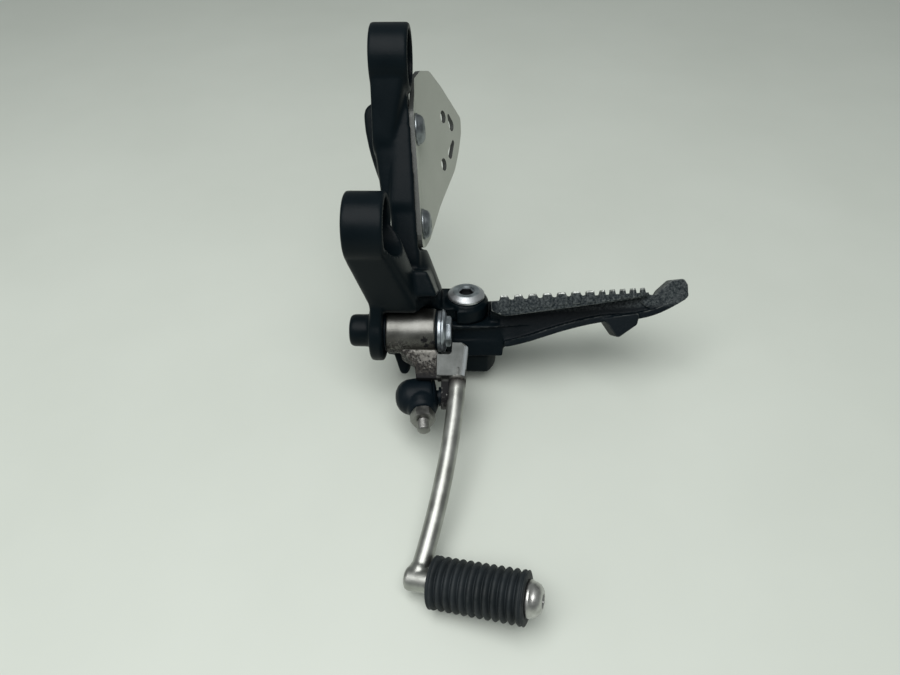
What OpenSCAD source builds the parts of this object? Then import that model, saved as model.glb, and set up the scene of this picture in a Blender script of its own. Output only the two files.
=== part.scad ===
// Left rear-set footrest: a cast bracket that carries a folding footpeg,
// a gear lever with its ball joint, and a heel guard plate.
// Everything is drawn as mounted on the machine (+X outboard, +Y rearward, +Z up, with the
// lower mounting boss at the origin) and then leant back about X into the pose it stands in.

/* [Stance] */
// Lean of the mounted assembly, top rearward (degrees)
lean = 38; // [0:1:45]
// Droop of the gear lever below the horizontal (degrees)
lever_droop = 54.3; // [40:0.1:60]
// Rake of the footpeg hinge pin, top forward (degrees)
pin_rake = 28; // [20:1:32]

/* [Mounting bosses] */
// Outer diameter of each mounting boss
boss_d = 30; // [27:0.5:32]
// Length of each mounting boss
boss_len = 17.5; // [15:0.5:20]
// Mounting bolt hole
boss_bore_d = 10.5; // [8.5:0.5:12]
// Counterbore for the bolt head
boss_cbore_d = 24.5; // [18:0.5:25]
// Depth of the counterbore
boss_cbore_depth = 8.5; // [6:0.5:8.5]
// Rounding of the boss rims
boss_edge = 1.2; // [0.4:0.1:1.5]
// Upper boss, rearward of the lower one
upper_boss_y = 33; // [31:0.5:36]
// Upper boss, above the lower one
upper_boss_z = 76.5; // [74:0.5:82]
// Upper boss, further outboard than the lower one
upper_boss_x = 6.6; // [5:0.1:8]

/* [Bracket casting] */
// Rounding along the cast arms
arm_edge = 1.6; // [0.8:0.1:2]
// Outboard face of the upper arm
arm_outer_x = 17.4; // [16.5:0.1:18.5]
// Thickness of each hinge ear, upper
ear_upper_t = 7.5; // [5.5:0.5:8.5]
// Thickness of the lower hinge ear
ear_lower_t = 11; // [8:0.5:12]
// Radius of the upper ear round the pin
ear_upper_r = 11; // [10:0.5:11.5]
// Radius of the lower ear round the pin
ear_lower_r = 15.5; // [13:0.5:16]
// Half depth of both ears, front to rear
ear_half = 11; // [10:0.5:12]
// Raised seat under the pin head
pin_seat_t = 2; // [1:0.5:3]

/* [Lever pivot] */
// Pivot axis, rearward of the lower boss
pivot_y = 31.5; // [30:0.5:33]
// Pivot axis, below the lower boss
pivot_drop = 48.2; // [47:0.1:51]
// Flange disc that the lever runs against
pivot_flange_d = 28.7; // [26:0.1:31]
// Thickness of the flange disc
pivot_flange_t = 6.7; // [5:0.1:8]
// Outboard face of the flange disc
pivot_face_x = 3.8; // [3:0.1:5]
// Blind stub behind the flange
stub_d = 15.6; // [14:0.1:18]
// Length of the blind stub
stub_len = 10.1; // [8:0.1:12]
// Pivot bolt shank diameter
pivot_bolt_d = 8; // [7:0.5:9]
// Outer diameter of the fixed sleeve
sleeve_d = 13; // [12:0.5:14]
// Flange diameter of the pivot bolt head
pivot_head_d = 20; // [17:0.5:20.5]
// Thickness of the thrust washer
washer_t = 1.6; // [1:0.1:2.5]
// Thickness of each dust seal
seal_t = 1; // [0.6:0.1:1.5]

/* [Gear lever] */
// Outer diameter of the pivot tube
tube_d = 21.5; // [20:0.5:23]
// Length of the pivot tube
tube_len = 22.9; // [20:0.1:25]
// Wall of each pressed bush
bush_wall = 1.5; // [1:0.1:2]
// Length of each pressed bush
bush_len = 9; // [6:0.5:10]
// Diameter of the lever rod
rod_d = 7.8; // [7:0.1:8.5]
// Bend radius of the rod
rod_bend_r = 393; // [300:1:600]
// Distance from pivot axis to toe piece axis
lever_reach = 112.5; // [105:0.5:125]
// Thickness of the machined block
block_t = 7.5; // [6:0.5:8]
// Height of the block's bright face above the lever axis
block_face_z = 2.9; // [2:0.1:4]
// Reach of the machined block from the pivot axis
block_reach = 24.2; // [22:0.1:27]
// Distance from pivot axis to the ball, along the lever
ball_reach = 29.5; // [27:0.5:32]
// Distance from pivot axis to the ball, below the lever
ball_drop = 10; // [8:0.5:12]

/* [Toe piece] */
// Spindle diameter under the rubber
spindle_d = 8; // [6:0.5:10]
// Upward cant of the toe piece (degrees)
toe_up = 14.6; // [0:0.1:20]
// Forward cant of the toe piece (degrees)
toe_forward = 9.8; // [0:0.1:15]
// Gap from lever axis to the rubber
toe_gap = 6.8; // [6:0.1:9]
// Length of the rubber
rubber_len = 38.5; // [32:0.5:46]
// Diameter over the end flanges
rubber_d = 20.7; // [18:0.1:24]
// Width of each end flange
rubber_flange_w = 3.6; // [2.5:0.1:5]
// Number of ribs between the flanges
rib_count = 10; // [6:1:14]
// Depth of the grooves
rib_depth = 1.5; // [0.8:0.1:2.5]
// Diameter of the domed spindle end
dome_d = 14.2; // [12:0.1:17]
// Height of the domed end
dome_h = 6.2; // [4:0.1:8]

/* [Ball joint] */
// Ball diameter
ball_d = 10; // [8:0.5:11]
// Wall of the housing round its liner
housing_wall = 2.5; // [1.8:0.1:2.8]
// Wall of the liner round the ball
liner_wall = 1.3; // [1:0.1:1.6]
// Thread diameter of the shank and its nut
shank_d = 5.9; // [4.9:0.1:6.9]
// Length of shank from ball centre to tip
shank_len = 21.5; // [20:0.5:24]
// Width across flats of the lock nut
nut_af = 10; // [8:0.5:11]
// Height of the lock nut
nut_h = 5; // [3:0.5:6]

/* [Footpeg] */
// Upward slope of the footpeg (degrees)
peg_rise = 3.8; // [0:0.1:8]
// Slope of the tread down to the rear (degrees)
peg_tilt = 5; // [0:0.5:6]
// Straight length of each row of teeth, from the hinge pin
peg_straight = 60; // [50:1:64]
// Radius that the tread's edges curve in with
peg_nose_r = 44; // [36:1:60]
// Turn of the tread's edge at its end (degrees)
peg_nose_turn = 40; // [38:1:42]
// Half width of the tread
peg_half = 15; // [14:0.5:16]
// Tooth pitch along the straight edge
tooth_pitch = 6.75; // [6:0.05:7]
// Tooth pitch round the nose
nose_pitch = 5.3; // [5:0.1:5.6]
// Teeth on the straight part of each row
straight_teeth = 7; // [5:1:7]
// Teeth round the nose in each row
nose_teeth = 5; // [3:1:5]
// Tooth length along the edge
tooth_len = 4.4; // [3:0.1:5]
// Tooth height
tooth_h = 2.1; // [1:0.1:3]
// Tooth depth from the edge inwards
tooth_depth = 5; // [3:0.5:7]
// Outer radius of the knuckle
knuckle_r = 12; // [11:0.5:12.5]
// Height of the knuckle between the ears
knuckle_h = 18; // [15:0.5:20]
// Thickness of the web under the tread
web_t = 8; // [5:0.5:10]
// Hinge pin diameter
pin_d = 8; // [7:0.5:9]
// Hinge pin head diameter
pin_head_d = 18; // [16:0.5:19]
// Hinge pin head height
pin_head_h = 3.4; // [2.5:0.1:4]

/* [Heel guard] */
// Seat of the plate, outboard of the lower boss
guard_x = 16.9; // [16.5:0.1:17.5]
// Tilt of the plate, bottom outboard (degrees)
guard_lean = 4; // [3:0.5:5]
// Plate thickness
plate_t = 2.2; // [1.5:0.1:3]
// Outward bend of the plate (degrees)
plate_bend = 22; // [10:1:25]
// Inner bend radius
plate_bend_r = 3; // [2:0.5:5]
// Flange diameter of the heel guard bolts
guard_head_d = 14.8; // [12:0.1:16]
// Thread diameter of the heel guard bolts
guard_bolt_d = 6; // [5:0.5:6]
// Thread engagement of the heel guard bolts
guard_grip = 10; // [8:0.5:12]

/* [Fits] */
// Radial clearance of running fits
run_gap = 0.06; // [0.03:0.01:0.1]
// Radial clearance of assembled fits that don't turn
seat_gap = 0.03; // [0.01:0.01:0.1]
// Face gap between pieces that slide past each other
face_gap = 0.3; // [0.2:0.05:0.4]
// Air gap round moving pieces
swing_gap = 1.5; // [1:0.1:2]

/* [Hidden] */
fine = 64;
soft = 32;
eps = 0.01;

// Lever pivot stack, from the flange face outwards
tube_x0 = pivot_face_x + seal_t + run_gap;
tube_x1 = tube_x0 + tube_len;
sleeve_x1 = tube_x1 + run_gap + seal_t;
washer_x1 = sleeve_x1 + washer_t;
pivot_z = -pivot_drop;
stub_x0 = pivot_face_x - pivot_flange_t - stub_len;
bush_d = sleeve_d + 2 * run_gap + 2 * bush_wall;

// Footpeg hinge, measured down the pin from the top of its head
pin_x = 41.8;
pin_y = 44.108;
pin_z = -29.522;
ear_top = pin_head_h + pin_seat_t;
ear_bottom = ear_top + ear_upper_t;
knuckle_top = ear_bottom + face_gap;
knuckle_bottom = knuckle_top + knuckle_h;
lower_top = knuckle_bottom + face_gap;
lower_bottom = lower_top + ear_lower_t;
clip_t = 1.2;
spring_wire = 1.4;
spring_turns = 4;
spring_r = pin_d / 2 + 1.2 + spring_wire / 2;
spring_pocket_r = spring_r + spring_wire / 2 + 0.9;
spring_pitch = 1.75;
spring_pocket_h = spring_turns * spring_pitch + spring_wire + 0.8;

knuckle_gap = 0.8;
wall_x1 = pin_x - knuckle_r - knuckle_gap + 1.2;
wall_t = 12;
spring_leg = 4;

// Cast arms, by distance rearward and height
bolt_way = 12;
arm_top = [36, 42];
arm_mid = [38, 12];
arm_foot = [40, -14];
arm_heel = [47, -36];
elbow = [23, -31.2];
seat_depth = 8;
seat_field = [29.5, -34];
seat_field_size = [20, 40, 76];

// Heel guard seat on the upper arm
guard_mid_z = 24;
guard_pad_h = 0.3;
guard_bolt_y = [38, 40];
guard_bolt_z = [21.8, -21.9];
guard_bend_y = 47;

// Ball joint
ball_x = 21.5;
arm_eye_x0 = 31;
arm_eye_x1 = 35.5;
housing_x1 = ball_x + ball_d / 2 + 0.5;
housing_x0 = ball_x - ball_d / 2 - 1.5;
liner_d = ball_d + 2 * liner_wall;
housing_d = liner_d + 2 * housing_wall;
web_clear = housing_d / 2 + 2;
cap_r = housing_d / 2 - 0.7;
cap_h = 4.6;
eye_r = 6;
nut_x0 = 10.8;
shank_neck_d = 7.4;
shank_bevel = 0.8;
thread_pitch_d = shank_d - 0.6;
thread_x0 = nut_x0 + nut_h + 0.2;

// Places the mounted assembly in its standing pose
module standing() {
    rotate([-lean, 0, 0]) children();
}

// Turns a solid drawn along +Z so that it runs along +X
module along_x() {
    rotate([0, 90, 0]) children();
}

// Draws a profile of the (Y, Z) plane and gives it a thickness from x0 to x1
module plate_x(x0, x1) {
    translate([x0, 0, 0]) rotate([90, 0, 90]) linear_extrude(height = x1 - x0) children();
}

// Round bar of diameter d from x0 to x1 at (y, z)
module bar_x(x0, x1, d, y = 0, z = 0, facets = fine) {
    translate([x0, y, z]) along_x() cylinder(h = x1 - x0, d = d, $fn = facets);
}

// Disc with rounded rims, for cast bosses and as a corner of cast arms
module puck(y, z, r, x0, x1, edge, facets = soft) {
    w = x1 - x0;
    translate([x0, y, z]) along_x() rotate_extrude($fn = facets) union() {
        square([r - edge, w]);
        translate([0, edge]) square([r, w - 2 * edge]);
        intersection() {
            translate([r - edge, edge]) circle(r = edge, $fn = 16);
            square([r, w]);
        }
        intersection() {
            translate([r - edge, w - edge]) circle(r = edge, $fn = 16);
            square([r, w]);
        }
    }
}

// Two circles joined by their outer tangents
module link(p1, r1, p2, r2) {
    d = norm(p2 - p1);
    a = atan2(p2[1] - p1[1], p2[0] - p1[0]);
    t = acos((r1 - r2) / d);
    translate(p1) circle(r = r1, $fn = fine);
    translate(p2) circle(r = r2, $fn = fine);
    polygon([
        p1 + r1 * [cos(a + t), sin(a + t)],
        p1 + r1 * [cos(a - t), sin(a - t)],
        p2 + r2 * [cos(a - t), sin(a - t)],
        p2 + r2 * [cos(a + t), sin(a + t)]
    ]);
}

// Corner i of an outline, replaced by an arc of the given radius
function unit(v) = v / norm(v);
function rounded_corner(p, i, r, n) =
    let (a = p[(i + len(p) - 1) % len(p)], b = p[i], c = p[(i + 1) % len(p)])
    let (u = unit(a - b), v = unit(c - b), half = acos(u * v) / 2)
    let (m = b + unit(u + v) * r / sin(half), s = b + u * r / tan(half), e = b + v * r / tan(half))
    let (a0 = atan2(s[1] - m[1], s[0] - m[0]), a1 = atan2(e[1] - m[1], e[0] - m[0]))
    let (turn = (a1 - a0 + 540) % 360 - 180)
    [for (k = [0:n]) m + r * [cos(a0 + turn * k / n), sin(a0 + turn * k / n)]];
function rounded(p, r, n = 4) = [for (i = [0:len(p) - 1]) each rounded_corner(p, i, r[i], n)];

// Frame of the footpeg hinge: origin on top of the pin head, z along the pin
module hinge() {
    translate([pin_x, pin_y, pin_z]) rotate([pin_rake, 0, 0]) children();
}

// Frame of the gear lever: origin on the pivot axis, lever along -Y
module lever_frame() {
    translate([0, pivot_y, pivot_z]) rotate([lever_droop, 0, 0]) children();
}

// Frame of the toe piece: origin in the lever's toe boss, axis along +X
module toe_frame() {
    lever_frame() translate([toe_x, -lever_reach, rod_z]) rotate([0, -toe_up, -toe_forward])
        children();
}

// Frame of the ball joint: origin at the ball, shank along -Y
module ball_frame() {
    lever_frame() translate([ball_x, -ball_reach, -ball_drop]) children();
}

// Lever rod: a shallow arc in the lever's own plane
rod_start = 20;
rod_lead = 2;
rod_x = 38.9;
rod_z = -0.8;
rod_turn = asin((lever_reach - rod_start) / rod_bend_r + sin(rod_lead)) - rod_lead;
toe_x = rod_x - rod_bend_r * (cos(rod_lead) - cos(rod_lead + rod_turn));
rubber_x1 = toe_gap + rubber_len;
spindle_tail_d = spindle_d - 2;
stud_pin_d = 6;
shank_swivel = 21.3;
shank_yaw = 7;

// One mounting boss with its centre at x
module mounting_boss(x, y, z) {
    puck(y, z, boss_d / 2, x - boss_len / 2, x + boss_len / 2, boss_edge, fine);
}

// Bolt hole and counterbore of a mounting boss
module mounting_hole(x, y, z) {
    bar_x(x - boss_len / 2 - 1, x + boss_len / 2 + 1, boss_bore_d, y, z);
    bar_x(x + boss_len / 2 - boss_cbore_depth, x + boss_len / 2 + bolt_way, boss_cbore_d, y, z);
}

// Two arms of the casting, from the mounting bosses down to the hinge and the lever pivot
module cast_arms() {
    neck_x0 = upper_boss_x - boss_len / 2 + 0.4;
    hull() {
        puck(upper_boss_y, upper_boss_z - 6, 11.5, neck_x0, neck_x0 + boss_len - 2, arm_edge);
        puck(arm_top[0], arm_top[1], 9, neck_x0, 8, arm_edge);
    }
    hull() {
        puck(arm_top[0] + 0.2, arm_top[1] + 2, 8.3, neck_x0 + 0.5, 7.5, arm_edge);
        puck(arm_mid[0], arm_mid[1], 7, 2.5, 9, arm_edge);
    }
    hull() {
        puck(arm_top[0] + 0.5, arm_top[1] + 15, 7.5, 8.5, arm_outer_x - 1.6, arm_edge);
        puck(arm_mid[0] - 1, arm_mid[1], 10, 6, arm_outer_x + 0.8, arm_edge);
    }
    hull() {
        puck(arm_mid[0] - 0.8, arm_mid[1] + 3, 9.3, 6.4, arm_outer_x + 0.4, arm_edge);
        puck(arm_foot[0], arm_foot[1], 12, 7, arm_outer_x + 3, arm_edge);
    }
    hull() {
        puck(arm_foot[0] + 0.3, arm_foot[1] + 2, 11.2, 7.5, arm_outer_x + 2.4, arm_edge);
        puck(arm_heel[0], arm_heel[1], 9, 7, wall_x1 - 0.6, arm_edge);
    }
    hull() {
        puck(2, -5, 12, -boss_len / 2 + 0.3, boss_len / 2 + 0.8, arm_edge);
        puck(elbow[0], elbow[1], 7.6, -1.5, 20, arm_edge);
    }
    hull() {
        puck(elbow[0] - 1, elbow[1] + 0.9, 7.1, -1.1, 19.4, arm_edge);
        puck(arm_heel[0] + 0.4, arm_heel[1] - 0.4, 8.4, 4, wall_x1 - 3, arm_edge);
    }
    plate_x(pivot_face_x - pivot_flange_t + 1, pivot_face_x)
        link(elbow, 7.3, [pivot_y, pivot_z], pivot_flange_d / 2 - 1);
    plate_x(2, wall_x1 - 1.5) link([48, -38], 6.5, [51, -58], 5);
    translate([0, 45.5, 0]) rotate([90, 0, 0]) linear_extrude(height = 7.5)
        link([-1.4, 51.5], 5, [6, 19], 3.2);
}

// Rounded lug behind and below the pivot tube
module lower_lug() {
    translate([0, 54, 0]) rotate([90, 0, 0]) linear_extrude(height = 10)
        polygon(rounded([[2, -46], [20, -46], [14.8, -62.7], [13.3, -72], [9.3, -72], [6.3, -62.7]],
            [1, 1, 4, 1.6, 1.6, 4]));
}

// Ear of the hinge in the hinge frame: round end on the pin, flat sides
module ear(r, z_top, t) {
    translate([0, 0, -z_top - t]) linear_extrude(height = t) intersection() {
        union() {
            circle(r = r, $fn = fine);
            translate([wall_x1 - pin_x - 1, -ear_half]) square([pin_x - wall_x1 + 1, 2 * ear_half]);
        }
        translate([-60, -ear_half]) square([120, 2 * ear_half]);
    }
}

// Both ears with the wall that joins them
module hinge_ears() {
    hinge() {
        ear(ear_upper_r, ear_top, ear_upper_t);
        ear(ear_lower_r, lower_top, ear_lower_t);
        translate([0, 0, -ear_top - eps]) cylinder(h = pin_seat_t, d = pin_head_d + 1.6, $fn = fine);
        translate([wall_x1 - pin_x - wall_t, -ear_half, -lower_bottom])
            cube([wall_t, 2 * ear_half, lower_bottom - ear_top]);
    }
}

// Frame of the heel guard: x = 0 on its seat, z = 0 half way between its screws
module guard_frame() {
    translate([guard_x, 0, guard_mid_z]) rotate([0, -guard_lean, 0]) children();
}

// Bosses that the heel guard is bolted to
module guard_seats() {
    guard_frame() for (i = [0, 1]) {
        bar_x(-seat_depth, 0, guard_head_d, guard_bolt_y[i], guard_bolt_z[i]);
    }
}

// Black cast bracket
module bracket() {
    color("#23272c") standing() difference() {
        union() {
            mounting_boss(0, 0, 0);
            mounting_boss(upper_boss_x, upper_boss_y, upper_boss_z);
            difference() {
                cast_arms();
                guard_frame() translate([-guard_pad_h, seat_field[0], seat_field[1]])
                    cube(seat_field_size);
            }
            lower_lug();
            hinge_ears();
            guard_seats();
            puck(pivot_y, pivot_z, pivot_flange_d / 2, pivot_face_x - pivot_flange_t, pivot_face_x,
                0.8, fine);
            puck(pivot_y, pivot_z, stub_d / 2, stub_x0, pivot_face_x, 1.6, fine);
        }
        mounting_hole(0, 0, 0);
        mounting_hole(upper_boss_x, upper_boss_y, upper_boss_z);
        bar_x(pivot_face_x, washer_x1 + 7, tube_d + 2 * swing_gap, pivot_y, pivot_z);
        bar_x(stub_x0 + 3, washer_x1, pivot_bolt_d + 2 * seat_gap, pivot_y, pivot_z);
        guard_frame() for (i = [0, 1]) {
            bar_x(-guard_grip - 1, 1, guard_bolt_d + 2 * seat_gap, guard_bolt_y[i], guard_bolt_z[i]);
        }
        hinge() {
            translate([0, 0, -lower_bottom - 1])
                cylinder(h = lower_bottom + 2, d = pin_d + 2 * seat_gap, $fn = fine);
            translate([0, 0, -knuckle_bottom - face_gap])
                cylinder(h = knuckle_h + 2 * face_gap, r = knuckle_r + knuckle_gap, $fn = fine);
            translate([spring_r, 0, -lower_top - spring_leg])
                cylinder(h = spring_leg + 1, d = spring_wire + 0.4, $fn = 16);
        }
    }
}

// Outline of the heel guard in its own frame: distance rearward, and height
guard_outline = [[30.5, -33], [30.5, 29], [38, 35.6], [43, 39.8], [47, 46.5], [54.1, 51.8],
    [63.6, 53.8], [76, 48.5], [97.8, 36], [97.4, 28.1], [93.5, 18.6], [86.9, 7.3], [75.6, -3.8],
    [67.5, -11.8], [53, -29.5], [48, -33]];
guard_radii = [6, 6, 4, 8, 8, 5, 5, 14, 3, 6, 20, 20, 20, 20, 4, 4];
guard_bend_x = plate_t + plate_bend_r;
function guard_arc(r, a0, a1) = [for (k = [0:8]) let (a = a0 + (a1 - a0) * k / 8)
    [guard_bend_x + r * cos(a), guard_bend_y + r * sin(a)]];

// Bent strip that the plate is cut from, seen from above
module guard_strip() {
    flare = 70 * [sin(plate_bend), cos(plate_bend)];
    outer = guard_arc(plate_bend_r + plate_t, 180, 180 - plate_bend);
    inner = guard_arc(plate_bend_r, 180 - plate_bend, 180);
    polygon(concat([[0, 0]], outer, [outer[8] + flare, inner[0] + flare], inner, [[plate_t, 0]]));
}

// Holes in the flared part, by distance from the bend and height
module guard_holes() {
    plate_x(-1, plate_t + 1) {
        translate([30.3, 33.5]) circle(d = 6.4, $fn = fine);
        translate([27.8, 9.1]) circle(d = 6.4, $fn = fine);
        link([40.3, 30.5], 3, [37.3, 34.6], 1.4);
        link([36.6, 15.3], 2.6, [41.4, 21.6], 1.4);
    }
}

// Heel guard: aluminium plate with one bend
module heel_guard() {
    color("#b9b7ae") standing() guard_frame() difference() {
        intersection() {
            translate([0, 0, -50]) linear_extrude(height = 120) guard_strip();
            plate_x(-5, 60) polygon(rounded(guard_outline, guard_radii));
        }
        for (i = [0, 1]) {
            bar_x(-1, plate_t + 1, guard_bolt_d + 0.6, guard_bolt_y[i], guard_bolt_z[i]);
        }
        translate([guard_bend_x, guard_bend_y, 0]) rotate([0, 0, -plate_bend])
            translate([-guard_bend_x, 0, 0]) guard_holes();
    }
}

// Flange-head socket screw along X, seat of the head at x = 0
module flange_screw(head_d, shank, length) {
    difference() {
        union() {
            along_x() rotate_extrude($fn = fine) polygon([[0, 0], [head_d / 2, 0], [head_d / 2, 0.8],
                [head_d / 2 - 1.2, 1.5], [5.6, 2], [5.2, 3.4], [4.2, 4.2], [0, 4.2]]);
            bar_x(-length, eps, shank);
        }
        translate([1.6, 0, 0]) along_x() cylinder(h = 4, d = 4.7, $fn = 6);
    }
}

// Two screws that hold the heel guard
module heel_guard_bolts() {
    color("#c3c8ce") standing() guard_frame() for (i = [0, 1]) {
        translate([plate_t, guard_bolt_y[i], guard_bolt_z[i]])
            flange_screw(guard_head_d, guard_bolt_d, plate_t + guard_grip);
    }
}

// Footpeg: heights are measured from the tread's land, distances from the hinge pin
peg_y = 46;
peg_land_z = -35.4;
tread_x0 = 11.9;
first_tooth_x = 16.4;
nose_gap = 3.8;
trough_inset = 7.5;
trough_depth = 1.2;
flange_t = 3.1;
root_x1 = 18.5;
root_half = 12;
root_plate_t = 2.2;
root_recess_h = 6.3;
nub_half = 5;
lug_half = 8.6;
root_step = [-8, 17, 8];
root_recess = [5.5, 4.4];

// Points of a cubic curve
function curve(a, b, c, d, n = 10) = [for (k = [0:n]) let (t = k / n, u = 1 - t)
    u * u * u * a + 3 * u * u * t * b + 3 * u * t * t * c + t * t * t * d];

// Lower edge of the footpeg seen from the front, from the hinge to the tip
belly_root = [17.5, -23.2];
belly_hollow = [[33, -20.8], [44, -15.4]];
belly_mid = [66, -13.1];
belly_rise = [[84, -13.3], [90, -13]];
belly_tip = [105.4, -4.6];
peg_belly = concat(
    curve(belly_root, belly_hollow[0], belly_hollow[1], belly_mid),
    curve(belly_mid, belly_rise[0], belly_rise[1], belly_tip));

// Depth of the tread's edge band below its land
band_root = 7.6;
band_x = 21;
function band_t(x) = band_root - (x - band_x) * 0.08;

// Front edge of the tread in plan, moved inwards by a distance
function tread_edge(inset) =
    let (r = peg_nose_r - inset, yc = peg_nose_r - peg_half)
    let (turn = min(peg_nose_turn, acos(yc / r) - 1))
    [for (k = [0:8]) [peg_straight + r * sin(turn * k / 8), yc - r * cos(turn * k / 8)]];
function tread_outline(inset, x0) =
    let (e = tread_edge(inset), m = [for (k = [len(e) - 1:-1:0]) [e[k][0], -e[k][1]]])
    concat([[x0, inset - peg_half]], e, m, [[x0, peg_half - inset]]);

// Frame of the tread: origin over the hinge pin, x along the peg, z = 0 on the land
module peg_frame() {
    translate([pin_x, peg_y, peg_land_z]) rotate([-peg_tilt, -peg_rise, 0]) children();
}

// Profile seen from the front, with a half width to front and rear
module peg_profile(half) {
    translate([0, half, 0]) rotate([90, 0, 0]) linear_extrude(height = 2 * half) children();
}

// Bottom flange, narrowing towards the tip
module peg_flange() {
    upper = [for (k = [len(peg_belly) - 1:-1:0]) peg_belly[k] + [0, flange_t]];
    intersection() {
        peg_profile(peg_half) polygon(concat(peg_belly, upper));
        translate([0, 0, -30]) linear_extrude(height = 40)
            polygon([[root_x1 - 2, -9.5], [60, -8.5], [108, -nub_half], [108, nub_half], [60, 8.5],
                [root_x1 - 2, 9.5]]);
    }
}

// One tooth on the front edge: steep on the inboard side, sloped on the other
module tooth(rib) {
    translate([0, tooth_depth, 0]) rotate([90, 0, 0]) linear_extrude(height = tooth_depth + 0.7)
        polygon([[0, -rib], [0, tooth_h - 0.5], [0.5, tooth_h], [tooth_len - 0.8, tooth_h],
            [tooth_len, 0], [tooth_len, 1 - rib], [tooth_len - 1, -rib]]);
}

// Row of teeth along the front edge of the tread
module tooth_row() {
    for (i = [0:straight_teeth - 1]) {
        x = first_tooth_x + i * tooth_pitch;
        translate([x, -peg_half, 0]) tooth(0.72 * band_t(x));
    }
    for (i = [0:nose_teeth - 1]) {
        a = (nose_gap + i * nose_pitch) / peg_nose_r * 180 / PI;
        translate([peg_straight, peg_nose_r - peg_half, 0]) rotate([0, 0, a])
            translate([0, -peg_nose_r, 0]) tooth(0.72 * band_t(peg_straight + i * nose_pitch));
    }
}

// Tread, web, bottom flange, lug and upturned tip
module peg_arm() {
    peg_frame() {
        difference() {
            intersection() {
                translate([0, 0, -20]) linear_extrude(height = 20)
                    polygon(tread_outline(0, tread_x0));
                peg_profile(peg_half + 1) polygon([[tread_x0, 0], [100, 0], [100, -band_t(100)],
                    [tread_x0 + 6, -band_t(tread_x0 + 6)], [tread_x0, -5]]);
            }
            translate([0, 0, -trough_depth]) linear_extrude(height = 2)
                polygon(tread_outline(trough_inset, first_tooth_x));
        }
        tooth_row();
        mirror([0, 1, 0]) tooth_row();
        peg_profile(web_t / 2) polygon(concat(peg_belly, [[92, -1.5], [root_x1 - 4, -1.5]]));
        peg_flange();
        peg_profile(lug_half) polygon(rounded([[64, -11.5], [66.4, -13], [71.6, -21.4],
            [81.2, -15.3], [82.4, -11.2], [82, -9.8]], [0.5, 1.5, 1.4, 1.6, 1, 0.5]));
        peg_profile(nub_half) polygon(rounded([[84, -5], [84, -1.6], [91.2, -1.4], [95.5, 2],
            [99.4, 5.2], [105.3, 5.4], [107, 2.3], [106.9, -3.6], [94.5, -9.6], [88, -8]],
            [0.5, 0.5, 3, 2, 2, 1.6, 1.6, 1.6, 4, 1]));
    }
}

// Knuckle and root block in the hinge frame
module peg_root() {
    hinge() difference() {
        union() {
            translate([0, 0, -knuckle_bottom]) {
                cylinder(h = knuckle_h, r = knuckle_r, $fn = fine);
                translate([-7, -root_half, 0]) cube([root_x1 + 7, root_half, knuckle_h]);
                cube([root_x1, root_half, knuckle_h]);
            }
            translate([tread_x0, root_step[0], -knuckle_top - eps])
                cube([root_x1 - tread_x0, root_step[1], root_step[2]]);
        }
        translate([-8, -root_half - 1, -knuckle_top - root_plate_t - root_recess_h])
            cube([root_x1 + root_recess[0], root_recess[1], root_recess_h]);
    }
}

// Cast footpeg
module footpeg() {
    color("#34383d") standing() difference() {
        union() {
            peg_arm();
            peg_root();
        }
        hinge() {
            translate([0, 0, -knuckle_bottom - 1])
                cylinder(h = knuckle_h + 2, d = pin_d + 2 * run_gap, $fn = fine);
            translate([0, 0, -knuckle_bottom - 1])
                cylinder(h = spring_pocket_h + 1, r = spring_pocket_r, $fn = fine);
            translate([spring_r, 0, -knuckle_bottom])
                cylinder(h = spring_pocket_h + spring_leg, d = spring_wire + 0.4, $fn = 16);
            translate([0, 0, -knuckle_top])
                cylinder(h = 30, r = ear_upper_r + knuckle_gap, $fn = fine);
        }
    }
}

// Hinge pin with a bevelled socket head and a clip groove
module peg_pivot_pin() {
    tip = lower_bottom + clip_t + 2.2;
    color("#aab0b6") standing() hinge() difference() {
        rotate_extrude($fn = fine) polygon([[0, 0], [6.4, 0], [pin_head_d / 2 - 0.4, -1.4],
            [pin_head_d / 2, -1.9], [pin_head_d / 2, -2.9], [pin_head_d / 2 - 0.5, -pin_head_h],
            [pin_d / 2, -pin_head_h], [pin_d / 2, -lower_bottom], [pin_d / 2 - 0.8, -lower_bottom],
            [pin_d / 2 - 0.8, -lower_bottom - clip_t - seat_gap],
            [pin_d / 2, -lower_bottom - clip_t - seat_gap], [pin_d / 2, -tip + 0.8],
            [pin_d / 2 - 0.8, -tip], [0, -tip]]);
        translate([0, 0, -3.2]) cylinder(h = 4, d = 7.5, $fn = 6);
        translate([0, 0, -1]) cylinder(h = 2, d1 = 7.2, d2 = 9.4, $fn = fine);
    }
}

// Open retaining clip in the pin's groove
module peg_pin_clip() {
    color("#6d7176") standing() hinge() translate([0, 0, -lower_bottom - clip_t]) difference() {
        cylinder(h = clip_t, d = pin_d + 5.4, $fn = fine);
        translate([0, 0, -1]) cylinder(h = clip_t + 2, d = pin_d - 1.6 + 2 * seat_gap, $fn = fine);
        translate([0, -pin_d / 2 + 1.4, -1]) cube([pin_d, pin_d - 2.8, clip_t + 2]);
    }
}

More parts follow.
